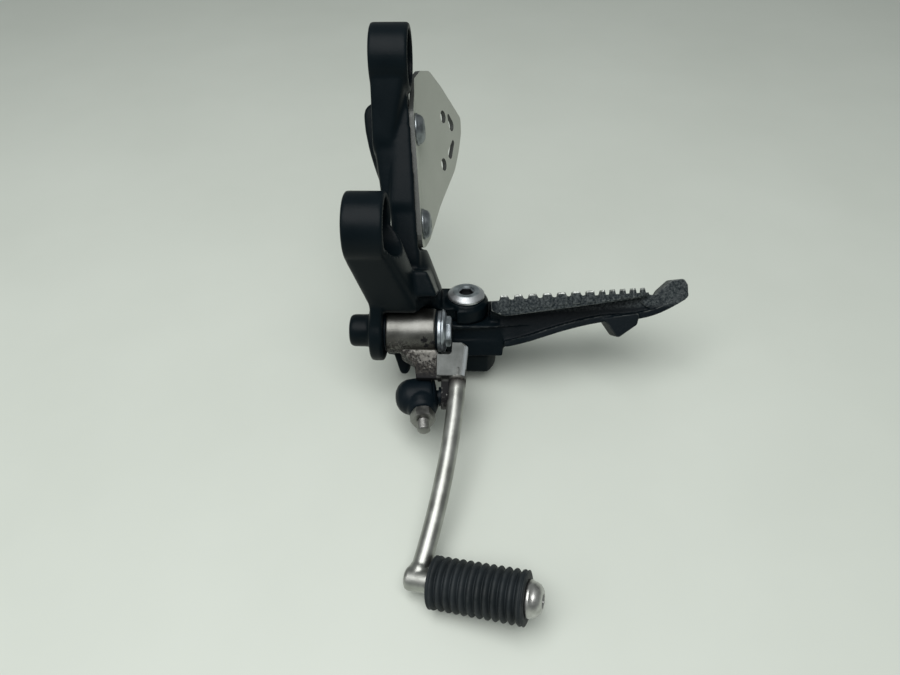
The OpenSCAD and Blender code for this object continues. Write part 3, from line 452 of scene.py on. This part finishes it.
soften_where(peg, near_root, 40)
into_peg = peg_frame.inverted()
between_teeth = -0.0002
pocket_floor, pocket_half = -0.0011, 0.0099
eye_x, eye_y, front_y = 0.0048, -0.3337, -0.0120
slots = ((0.0610, 0.0630), (0.0659, 0.0680), (0.0706, 0.0729), (0.0754, 0.0776),
         (0.0803, 0.0824), (0.0846, 0.0885))
tread_bottom, root_x, rear_drop = -0.011, 0.014, 0.0050
web_top, web_narrowed = -0.013, 0.55
for vertex in peg.data.vertices:
    own = into_peg @ vertex.co
    if 0.009 < own.x < 0.0162 and own.z > between_teeth:
        own.z = between_teeth
    if 0.0161 < own.x < 0.0195 and abs(own.y) < pocket_half and own.z > pocket_floor:
        own.z = pocket_floor
    # The gaps between the nose teeth are cut along the line of sight from the front.
    seen = eye_x + (own.x - eye_x) * (front_y - eye_y) / (own.y - eye_y)
    in_gap = any(start < seen < end for start, end in slots)
    if own.z > between_teeth and own.y < 0.003 and in_gap:
        own.z = between_teeth
    if own.z > tread_bottom and own.x > root_x:
        rear_edge = 0.009 - 0.006 * smooth_step(own.x, 0.045, 0.075)
        to_rear = smooth_step(own.y, -0.004, rear_edge)
        to_top = smooth_step(own.z, tread_bottom, -0.0015)
        on_tread = smooth_step(own.x, root_x, 0.018) * (1.0 - smooth_step(own.x, 0.088, 0.094))
        own.z -= rear_drop * to_rear * to_top * on_tread
    if own.z < web_top:
        own.y *= 1.0 - web_narrowed + web_narrowed * smooth_step(own.x, 0.017, 0.032)
    vertex.co = peg_frame @ own
dress(peg, peg_coat)
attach(peg, "footpeg_body")
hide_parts("footpeg")

# Heel guard: a bent sheet of bare aluminium with a fine satin grain. Its cut edges and the walls of
# its holes are painted dark as shade. Two screws hold it to the bracket's seats.
guard_frame = (stand @ Matrix.Translation((0.0169, 0.0, 0.024))
               @ Matrix.Rotation(math.radians(-4.0), 4, "Y"))


def facing(tree, direction):
    """1 where the surface faces along the direction, 0 where it is square to it."""
    node = tree.nodes.new("ShaderNodeVectorMath")
    node.operation = "DOT_PRODUCT"
    feed(tree, node.inputs[0], tree.nodes.new("ShaderNodeNewGeometry").outputs["True Normal"])
    node.inputs[1].default_value = direction[:3]
    return node.outputs["Value"]


satin_sheet, tree, surface = new_material("satin_sheet")
where = place(tree)
sheet = placed(tree, "clouding", place=where, cloud_size=45.0, start=0.0, full=1.0,
               dark=(0.46, 0.48, 0.425), light=(0.56, 0.58, 0.52))
satin_grain = noise(tree, where, 1600.0, 2.0)
# Painted shade: the faces square to the sheet, its cut edges and hole walls, get a dark colour.
cut_edge_shade = spread(tree, arithmetic(tree, "ABSOLUTE", facing(tree, guard_frame.col[0])), 0.6, 0.5)
feed(tree, surface.inputs["Base Color"],
     two_tone(tree, cut_edge_shade, sheet["Colour"], (0.075, 0.08, 0.075)))
surface.inputs["Metallic"].default_value = 0.35
feed(tree, surface.inputs["Roughness"], spread(tree, satin_grain, 0.3, 0.7, 0.42, 0.58))
relief(tree, surface, satin_grain, 0.15, 0.0002)
dress(nodes["heel_guard"], satin_sheet)


# Heel guard screws: zinc-plated button heads on a flange, each with a hexagon socket. They
# clamp the sheet to the bracket's two seats.
def zinc(name, dark, light):
    material, tree, surface = new_material(name)
    where = place(tree)
    metal = placed(tree, "clouding", place=where, cloud_size=260.0, detail=4.0,
                   dark=dark, light=light, smoothest=0.28, roughest=0.42)
    rim = placed(tree, "edge wear", place=where, start=0.52, full=0.60, patch_size=200.0)
    feed(tree, surface.inputs["Base Color"], two_tone(
        tree, product(tree, rim["Mask"], 0.6), metal["Colour"], (0.62, 0.66, 0.68)))
    surface.inputs["Metallic"].default_value = 0.9
    feed(tree, surface.inputs["Roughness"], metal["Roughness"])
    relief(tree, surface, metal["Height"], 0.2, 0.0002)
    return material


screw_zinc = zinc("screw_zinc", (0.11, 0.125, 0.135), (0.27, 0.295, 0.31))


def hexagon(flats):
    half = flats / 2.0
    return lambda a, x: half / math.cos((a + math.pi / 6.0) % (math.pi / 3.0) - math.pi / 6.0)


def turned(name, body, rings, at, parts=96):
    """A body of revolution about its frame's x axis, from (x, radius) rings. A radius may
    depend on the angle and x, for hexagons and threads."""
    shape = bmesh.new()
    rows = []
    for x, radius in rings:
        if radius == 0.0:
            rows.append([shape.verts.new(at @ Vector((x, 0.0, 0.0)))])
            continue
        row = []
        for k in range(parts):
            a = 2.0 * math.pi * k / parts
            r = radius(a, x) if callable(radius) else radius
            row.append(shape.verts.new(at @ Vector((x, r * math.cos(a), r * math.sin(a)))))
        rows.append(row)
    for low, high in zip(rows, rows[1:]):
        for k in range(parts):
            n = (k + 1) % parts
            if len(low) == 1:
                shape.faces.new((low[0], high[n], high[k]))
            elif len(high) == 1:
                shape.faces.new((low[k], low[n], high[0]))
            else:
                shape.faces.new((low[k], low[n], high[n], high[k]))
    bmesh.ops.recalc_face_normals(shape, faces=shape.faces)
    piece = made(name, shape)
    for face in piece.data.polygons:
        face.use_smooth = True
    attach(piece, body)
    return piece


guard_sheet = 0.0022
screw_places = ((0.038, 0.0218), (0.040, -0.0219))
for number, (y, z) in enumerate(screw_places, 1):
    screw = turned("guard_screw_%d" % number, "bracket_assembly", [
        (-0.0120, 0.0), (-0.0120, 0.0024), (-0.0114, 0.0030), (-0.0001, 0.0030), (-0.0001, 0.0031),
        (0.0, 0.0070), (0.0002, 0.0073), (0.0007, 0.0074), (0.0011, 0.0072), (0.0013, 0.0069),
        (0.0019, 0.0067), (0.0028, 0.0062), (0.0035, 0.0055), (0.0040, 0.0046), (0.00415, 0.0040),
        (0.0042, 0.0034), (0.0042, 0.0029), (0.0040, hexagon(0.0048)), (0.0038, hexagon(0.0046)),
        (0.0016, hexagon(0.0046)), (0.0015, hexagon(0.0044)), (0.0012, 0.0)],
        guard_frame @ Matrix.Translation((guard_sheet, y, z)))
    dress(screw, screw_zinc)
    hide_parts("heel_guard_bolts")

# Pivot bolt, washer and sleeve: zinc plate on the first two, bare turned steel on the last.
# The bolt's flange clamps the washer against the sleeve, so the lever turns freely behind it.
lever_frame = (stand @ Matrix.Translation((0.0, 0.0315, -0.0482))
               @ Matrix.Rotation(math.radians(54.3), 4, "X"))
flange_face, seal, play, tube_length, washer = 0.0038, 0.001, 0.00006, 0.0229, 0.0016
seat = flange_face + seal + play + tube_length + play + seal + washer
pivot_bolt = turned("pivot_bolt", "bracket_assembly", [
    (-0.028, 0.0), (-0.028, 0.0034), (-0.0274, 0.0040), (-0.0001, 0.0040), (-0.0001, 0.0041),
    (0.0, 0.0098), (0.0002, 0.0103), (0.0006, 0.0105), (0.0011, 0.0104), (0.0016, 0.0100),
    (0.0020, 0.0093), (0.0023, 0.0083), (0.0024, hexagon(0.0129)), (0.0026, hexagon(0.0127)),
    (0.0040, hexagon(0.0127)), (0.0044, lambda a, x: min(0.0069, hexagon(0.0127)(a, x))),
    (0.0047, lambda a, x: min(0.0064, hexagon(0.0125)(a, x))), (0.0048, 0.0058), (0.0046, 0.0050),
    (0.0045, 0.0048), (0.0044, 0.0)], lever_frame @ Matrix.Translation((seat, 0.0, 0.0)))
bolt_zinc = zinc("bolt_zinc", (0.24, 0.27, 0.295), (0.56, 0.61, 0.65))
dress(pivot_bolt, bolt_zinc)
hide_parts("lever_pivot_bolt")
dress(nodes["lever_pivot_washer"], bolt_zinc)

turned_steel, tree, surface = new_material("turned_steel")
metal = placed(tree, "clouding", place=place(tree), cloud_size=300.0, smoothest=0.32,
               roughest=0.46, dark=(0.20, 0.22, 0.235), light=(0.32, 0.345, 0.36))
feed(tree, surface.inputs["Base Color"], metal["Colour"])
surface.inputs["Metallic"].default_value = 0.9
feed(tree, surface.inputs["Roughness"], metal["Roughness"])
relief(tree, surface, metal["Height"], 0.12, 0.0001)
dress(nodes["lever_pivot_sleeve"], turned_steel)

# Hinge pin, clip and return spring: a headed steel pin whose hexagon socket is painted near-black as
# shade, held at its lower end by the clip. Clip and spring are dull spring steel.
pin_steel, tree, surface = new_material("pin_steel")
where = place(tree)
right, ahead, up = own_place(tree, where, hinge_frame)
off_axis = arithmetic(tree, "SQRT", arithmetic(
    tree, "ADD", product(tree, right, right), product(tree, ahead, ahead)))
# Painted shade: the inside of the hexagon socket is coloured near-black and made not metallic.
socket_shade = product(tree, spread(tree, off_axis, 0.0043, 0.0040),
                    spread(tree, up, -0.0007, -0.0014))
head_edge = spread(tree, off_axis, 0.0064, 0.0068)
metal = placed(tree, "clouding", place=where, cloud_size=300.0, detail=4.0, smoothest=0.34,
               roughest=0.5, dark=(0.24, 0.275, 0.29), light=(0.44, 0.485, 0.505))
colour = two_tone(tree, head_edge, metal["Colour"], (0.48, 0.50, 0.51))
feed(tree, surface.inputs["Base Color"], two_tone(tree, socket_shade, colour, (0.006, 0.007, 0.008)))
feed(tree, surface.inputs["Metallic"], spread(tree, socket_shade, 0.0, 1.0, 0.9, 0.0))
feed(tree, surface.inputs["Roughness"], metal["Roughness"])
relief(tree, surface, metal["Height"], 0.12, 0.0001)
dress(nodes["peg_pivot_pin"], pin_steel)

spring_steel, tree, surface = new_material("spring_steel")
metal = placed(tree, "clouding", place=place(tree), cloud_size=500.0, start=0.0, full=1.0,
               dark=(0.10, 0.10, 0.11), light=(0.20, 0.20, 0.21))
feed(tree, surface.inputs["Base Color"], metal["Colour"])
surface.inputs["Metallic"].default_value = 1.0
surface.inputs["Roughness"].default_value = 0.45
for name in ("peg_pin_clip", "peg_return_spring"):
    dress(nodes[name], spring_steel)

# Gear lever: plated steel, with the tube, block and rod brazed into one piece. The rod is clean. The
# web is painted a flat darker grey, and a ragged brown-black mark on the web and the underside of the
# tube is grime in part and painted shade in part.
toe_frame = (lever_frame @ Matrix.Translation((0.024514, -0.1125, -0.0008))
             @ Matrix.Rotation(math.radians(-9.8), 4, "Z")
             @ Matrix.Rotation(math.radians(-14.6), 4, "Y"))
plated_steel, tree, surface = new_material("plated_steel")
where = place(tree)
across, along, up = own_place(tree, where, lever_frame)
clean = placed(tree, "clouding", place=where, cloud_size=120.0, detail=5.0, fineness=0.6,
               dark=(0.27, 0.275, 0.255), light=(0.46, 0.47, 0.44), smoothest=0.30,
               roughest=0.42)
dull = placed(tree, "clouding", place=where, cloud_size=120.0, detail=5.0, fineness=0.6,
              dark=(0.105, 0.105, 0.096), light=(0.215, 0.215, 0.20))
speck = noise(tree, where, 900.0, 4.0, 0.7)
grime = noise(tree, where, 620.0, 6.0, 0.78)
on_tube = spread(tree, along, -0.0125, -0.0095)
near_block = spread(tree, along, -0.026, -0.0235)
off_block = spread(tree, product(tree, spread(tree, along, -0.0255, -0.0240),
                                 spread(tree, across, 0.0286, 0.0292)), 1.0, 0.0)
# Painted shade in part: the web and the low side of the tube are darkened, and the ragged mark there
# stands for grime and shade together.
web = product(tree, spread(tree, along, -0.0060, -0.0105), spread(tree, along, -0.030, -0.024))
tube_underside_grime_and_shade = product(tree, spread(tree, up, 0.0085, 0.0035), spread(tree, along, -0.030, -0.026))
creep = arithmetic(tree, "ADD", grime, product(tree, spread(tree, along, -0.010, -0.0255), 0.30))
creep = arithmetic(tree, "ADD", creep, product(tree, spread(tree, across, 0.024, 0.012), 0.16))
grime_and_shade = product(tree, arithmetic(tree, "MAXIMUM", web, tube_underside_grime_and_shade), off_block,
                spread(tree, creep, 0.60, 0.67))
grime_and_shade_colour = two_tone(tree, spread(tree, speck, 0.4, 0.6), (0.008, 0.008, 0.008), (0.045, 0.041, 0.036))
colour = two_tone(tree, near_block, clean["Colour"], (0.09, 0.094, 0.09))
colour = two_tone(tree, on_tube, colour, dull["Colour"])
colour = two_tone(tree, product(tree, web, off_block), colour, (0.115, 0.112, 0.102))
colour = two_tone(tree, grime_and_shade, colour, grime_and_shade_colour)


def spot(x, y, z, size):
    """A ragged spot of oil round a point of the lever's frame."""
    offset = tree.nodes.new("ShaderNodeVectorMath")
    offset.operation = "DISTANCE"
    feed(tree, offset.inputs[0], where)
    offset.inputs[1].default_value = lever_frame @ Vector((x, y, z))
    ragged = arithmetic(tree, "ADD", offset.outputs["Value"],
                        spread(tree, grime, 0.35, 0.65, 0.0, size * 0.9))
    return spread(tree, ragged, size * 1.05, size * 0.95)


oil = spot(0.0228, -0.0085, 0.0068, 0.0028)
for more_oil in (spot(0.0238, -0.0100, 0.0040, 0.0022), spot(0.0268, -0.0090, 0.0060, 0.0021)):
    oil = arithmetic(tree, "MAXIMUM", oil, more_oil)
block_foot = product(tree, spread(tree, along, -0.0215, -0.0245),
                     spread(tree, across, 0.0372, 0.0345), spread(tree, grime, 0.30, 0.42),
                     spread(tree, along, -0.0385, -0.0350), off_block)
soot = arithmetic(tree, "MAXIMUM", oil, block_foot)
dirt_and_shade = arithmetic(tree, "MAXIMUM", grime_and_shade, soot)
feed(tree, surface.inputs["Base Color"], two_tone(tree, soot, colour, (0.010, 0.010, 0.011)))
feed(tree, surface.inputs["Metallic"], spread(tree, dirt_and_shade, 0.0, 1.0, 0.95, 0.0))
feed(tree, surface.inputs["Specular IOR Level"], spread(tree, dirt_and_shade, 0.0, 1.0, 0.5, 0.12))
feed(tree, surface.inputs["Roughness"], arithmetic(
    tree, "ADD", clean["Roughness"], spread(tree, dirt_and_shade, 0.0, 1.0, 0.0, 0.2)))
relief(tree, surface, arithmetic(tree, "ADD", product(tree, dirt_and_shade, 0.5), product(tree, speck, 0.3)),
       0.3, 0.0003)


def brazed_joints(point):
    """Above 0 in the fillets round the tube and at the toe boss."""
    at = lever_frame.inverted() @ point
    toe = (toe_frame.inverted() @ point).length
    tube_r, fillet_r, toe_boss, block_x = 0.0109, 0.0135, 0.012, 0.028
    if at.x >= block_x:
        return 0.0
    fillet = 1.0 if tube_r < math.hypot(at.y, at.z) < fillet_r else 0.0
    return max(fillet, 1.0 - toe / toe_boss)


lever = cast_copy("gear_lever", "gear_lever_brazed", 0.00042, 1, [
    ball((0.0002, 0.0035, 0.0), 0.0045, toe_frame),
    ball((-0.0004, 0.0012, 0.0), 0.0047, toe_frame)])
soften_where(lever, brazed_joints, 16)
dress(lever, plated_steel)
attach(lever, "gear_lever_body")
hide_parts("gear_lever")

# The lever's machined block: the same piece of metal, milled flat with crisp chamfered edges. Its
# face is brushed along the rod, and the long chamfered face at its outer side is painted lighter and
# less metallic as a highlight.
milled_metal, tree, surface = new_material("milled_metal")
where = place(tree)
across, along, up = own_place(tree, where, lever_frame)
stretch = tree.nodes.new("ShaderNodeMath")
stretch.operation = "MULTIPLY"
stretch.inputs[1].default_value = 22.0
feed(tree, stretch.inputs[0], across)
strokes = tree.nodes.new("ShaderNodeCombineXYZ")
feed(tree, strokes.inputs["X"], stretch.outputs["Value"])
feed(tree, strokes.inputs["Y"], along)
brushed = noise(tree, strokes.outputs["Vector"], 130.0, 4.0)
metal = placed(tree, "clouding", place=where, cloud_size=160.0, detail=4.0,
               dark=(0.080, 0.085, 0.082), light=(0.128, 0.136, 0.131))
# Painted highlight: the outer chamfer, found by the way it faces, gets a light, less metallic colour.
chamfer_highlight = spread(tree, facing(tree, lever_frame.col[0]), 0.15, 0.4)
feed(tree, surface.inputs["Base Color"],
     two_tone(tree, chamfer_highlight, metal["Colour"], (0.46, 0.49, 0.50)))
feed(tree, surface.inputs["Metallic"], spread(tree, chamfer_highlight, 0.0, 1.0, 0.9, 0.4))
feed(tree, surface.inputs["Roughness"], spread(tree, brushed, 0.3, 0.7, 0.34, 0.5))
relief(tree, surface, brushed, 0.15, 0.0001)
outline_at = [(0.0358, -0.0074), (0.0414, -0.0074), (0.0432, -0.0092), (0.0418, -0.0243),
              (0.0292, -0.0243), (0.0289, -0.0136), (0.0346, -0.0136), (0.0358, -0.0124)]
outer_side, edge_round = 0.04, 0.00022
levels = ((-0.00465, 0.0), (0.0019, 0.0), (0.00302, 0.0014))
milled = bmesh.new()
rows = [[milled.verts.new(lever_frame @ Vector((x - inset * (x > outer_side), y, z)))
         for x, y in outline_at] for z, inset in levels]
for low, high in zip(rows, rows[1:]):
    for k in range(len(low)):
        n = (k + 1) % len(low)
        milled.faces.new((low[k], low[n], high[n], high[k]))
milled.faces.new(rows[0][::-1])
milled.faces.new(rows[-1])
bmesh.ops.recalc_face_normals(milled, faces=milled.faces)
bmesh.ops.bevel(milled, geom=list(milled.edges), offset=edge_round, segments=2, affect="EDGES")
lever_block = made("lever_block_milled", milled)
dress(lever_block, milled_metal)
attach(lever_block, "gear_lever_body")
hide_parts("gear_lever")

# Bushes and seals: two plain bronze bushes pressed into the lever's tube, and a rubber ring
# at each end that keeps the dirt out, black with grease.
bush_bronze, tree, surface = new_material("bush_bronze")
metal = placed(tree, "clouding", place=place(tree), cloud_size=200.0, start=0.0, full=1.0,
               dark=(0.30, 0.19, 0.09), light=(0.42, 0.28, 0.14))
feed(tree, surface.inputs["Base Color"], metal["Colour"])
surface.inputs["Metallic"].default_value = 1.0
surface.inputs["Roughness"].default_value = 0.4
for name in ("lever_bush_inner", "lever_bush_outer"):
    dress(nodes[name], bush_bronze)

greasy_black, tree, surface = new_material("greasy_black")
black = placed(tree, "clouding", place=place(tree), cloud_size=150.0, detail=4.0, start=0.0,
               full=1.0, dark=(0.0022, 0.0052, 0.0078), light=(0.0055, 0.0100, 0.0138),
               smoothest=0.32, roughest=0.50)
feed(tree, surface.inputs["Base Color"], black["Colour"])
feed(tree, surface.inputs["Roughness"], black["Roughness"])
surface.inputs["Specular IOR Level"].default_value = 0.10
relief(tree, surface, black["Height"], 0.3, 0.0006)
for name in ("lever_seal_inner", "lever_seal_outer"):
    dress(nodes[name], greasy_black)

# Toe piece: a black rubber sleeve with rounded ribs, pushed onto a steel spindle. It is
# dusty along the ribs, and the spindle ends in a button head with a socket.
ribbed_rubber, tree, surface = new_material("ribbed_rubber")
where = place(tree)
rubber = placed(tree, "clouding", place=where, cloud_size=90.0, detail=4.0,
                dark=(0.0060, 0.0095, 0.0115), light=(0.0150, 0.0205, 0.0240))
speck = noise(tree, where, 1200.0, 3.0)
dust = placed(tree, "edge wear", place=where, start=0.50, full=0.62, patch_size=300.0)
feed(tree, surface.inputs["Base Color"], two_tone(
    tree, product(tree, dust["Mask"], 0.35), rubber["Colour"], (0.10, 0.10, 0.095)))
feed(tree, surface.inputs["Roughness"], spread(tree, speck, 0.3, 0.7, 0.55, 0.72))
surface.inputs["Specular IOR Level"].default_value = 0.3
relief(tree, surface, speck, 0.2, 0.0003)
ribs, steps = 12, 12
first, last = 0.0068, 0.0453
rib_r, groove_r, bore_r = 0.01035, 0.00855, 0.0040
pitch = (last - first - 0.0008) / ribs
sleeve = [(first, bore_r), (first, 0.0094), (first + 0.0003, 0.0099)]
for step in range(ribs * steps + 1):
    turn = step / steps
    wave = (0.5 + 0.5 * math.cos(2.0 * math.pi * (turn - 0.5))) ** 0.55
    at_end = min(turn, ribs - turn)
    height = wave if at_end > 0.5 else max(wave, 1.0 - 1.05 * at_end)
    sleeve.append((first + 0.0004 + turn * pitch, groove_r + (rib_r - groove_r) * height))
sleeve += [(last - 0.0003, 0.0099), (last, 0.0094), (last, bore_r), (first, bore_r)]
toe_sleeve = turned("toe_rubber_ribbed", "gear_lever_body", sleeve, toe_frame)
dress(toe_sleeve, ribbed_rubber)
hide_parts("toe_rubber")

bare_steel, tree, surface = new_material("bare_steel")
metal = placed(tree, "clouding", place=place(tree), cloud_size=220.0, detail=4.0,
               dark=(0.30, 0.30, 0.285), light=(0.62, 0.62, 0.60), smoothest=0.24, roughest=0.40)
feed(tree, surface.inputs["Base Color"], metal["Colour"])
surface.inputs["Metallic"].default_value = 0.95
feed(tree, surface.inputs["Roughness"], metal["Roughness"])
spindle = turned("toe_spindle_head", "gear_lever_body", [
    (-0.0028, 0.0), (-0.0028, 0.0026), (-0.0024, 0.0030), (0.00683, 0.0030), (0.00683, 0.0039),
    (0.00685, 0.0040), (0.04529, 0.0040), (0.0453, 0.0041), (0.0453, 0.0066), (0.0455, 0.0070),
    (0.0459, 0.0071), (0.0466, 0.0071), (0.0469, 0.0070), (0.0471, 0.0067), (0.0483, 0.0065),
    (0.0497, 0.0058), (0.0507, 0.0047), (0.0511, 0.0038), (0.0512, 0.0031), (0.0512, 0.0029),
    (0.0510, hexagon(0.0050)), (0.0508, hexagon(0.0048)), (0.0485, hexagon(0.0048)),
    (0.0484, hexagon(0.0046)), (0.0480, 0.0)], toe_frame)
dress(spindle, bare_steel)
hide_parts("toe_spindle")

# Ball joint: a black steel housing with a cap pressed into its far side. Inside, a nylon
# liner holds the ball of a stud that is riveted to the lever, and a soft boot covers the gap.
for name in ("ball_joint_boot", "ball_stud"):
    dress(nodes[name], greasy_black)
housing_frame = (lever_frame @ Matrix.Translation((0.0215, -0.0295, -0.010))
                 @ Matrix.Rotation(math.radians(-21.3), 4, "X")
                 @ Matrix.Rotation(math.radians(7.0), 4, "Z"))
along_shank = housing_frame @ Matrix.Rotation(math.radians(-90.0), 4, "Z")
housing = cast_copy(None, "ball_joint_shell", 0.0004, 10, [
    round_bar([(-0.0121, 0.0010), (-0.0117, 0.0034), (-0.0104, 0.0058), (-0.0086, 0.0074),
               (-0.0065, 0.0083), (-0.003, 0.0087), (0.002, 0.0087), (0.0042, 0.0085),
               (0.0054, 0.0078)], housing_frame),
    round_bar([(0.0, 0.0079), (0.0060, 0.0077), (0.0088, 0.0068), (0.0103, 0.0058),
               (0.0107, 0.0050)], along_shank)])
dress(housing, greasy_black)
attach(housing, "ball_joint_body")
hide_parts("ball_joint_housing", "ball_joint_cap")

nylon, tree, surface = new_material("nylon")
plastic = placed(tree, "clouding", place=place(tree), cloud_size=150.0, start=0.0, full=1.0,
                 dark=(0.55, 0.53, 0.45), light=(0.68, 0.66, 0.58))
feed(tree, surface.inputs["Base Color"], plastic["Colour"])
surface.inputs["Roughness"].default_value = 0.5
dress(nodes["ball_joint_liner"], nylon)

# Lock nut and thread: dull zinc. The thread is cut on the housing's shank, and the nut locks
# the linkage rod that screws onto it.
dull_zinc, tree, surface = new_material("dull_zinc")
metal = placed(tree, "clouding", place=place(tree), cloud_size=350.0, detail=4.0, start=0.0,
               full=1.0, dark=(0.16, 0.16, 0.155), light=(0.36, 0.36, 0.34), smoothest=0.3,
               roughest=0.5)
feed(tree, surface.inputs["Base Color"], metal["Colour"])
surface.inputs["Metallic"].default_value = 1.0
feed(tree, surface.inputs["Roughness"], metal["Roughness"])
dress(nodes["lock_nut"], dull_zinc)


def thread(a, x):
    """The radius of a rounded thread at an angle and a distance along the shank."""
    thread_pitch, root_r, depth = 0.001, 0.00252, 0.00042
    turn = (x / thread_pitch - a / (2.0 * math.pi)) % 1.0
    return root_r + depth * min(1.0, max(0.0, 1.35 * abs(2.0 * turn - 1.0) - 0.1))


thread_start, thread_step, thread_rings, neck_r = 0.0100, 0.000125, 88, 0.0026
shank = turned("linkage_shank", "ball_joint_body", [
    (0.0095, 0.0), (0.0095, neck_r), (0.0098, neck_r), (0.0099, neck_r)]
    + [(thread_start + thread_step * k, thread) for k in range(thread_rings)]
    + [(0.0211, 0.0024), (0.0214, 0.0021), (0.0215, 0.0017), (0.0215, 0.0)], along_shank, 72)
dress(shank, dull_zinc)
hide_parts("ball_joint_housing")
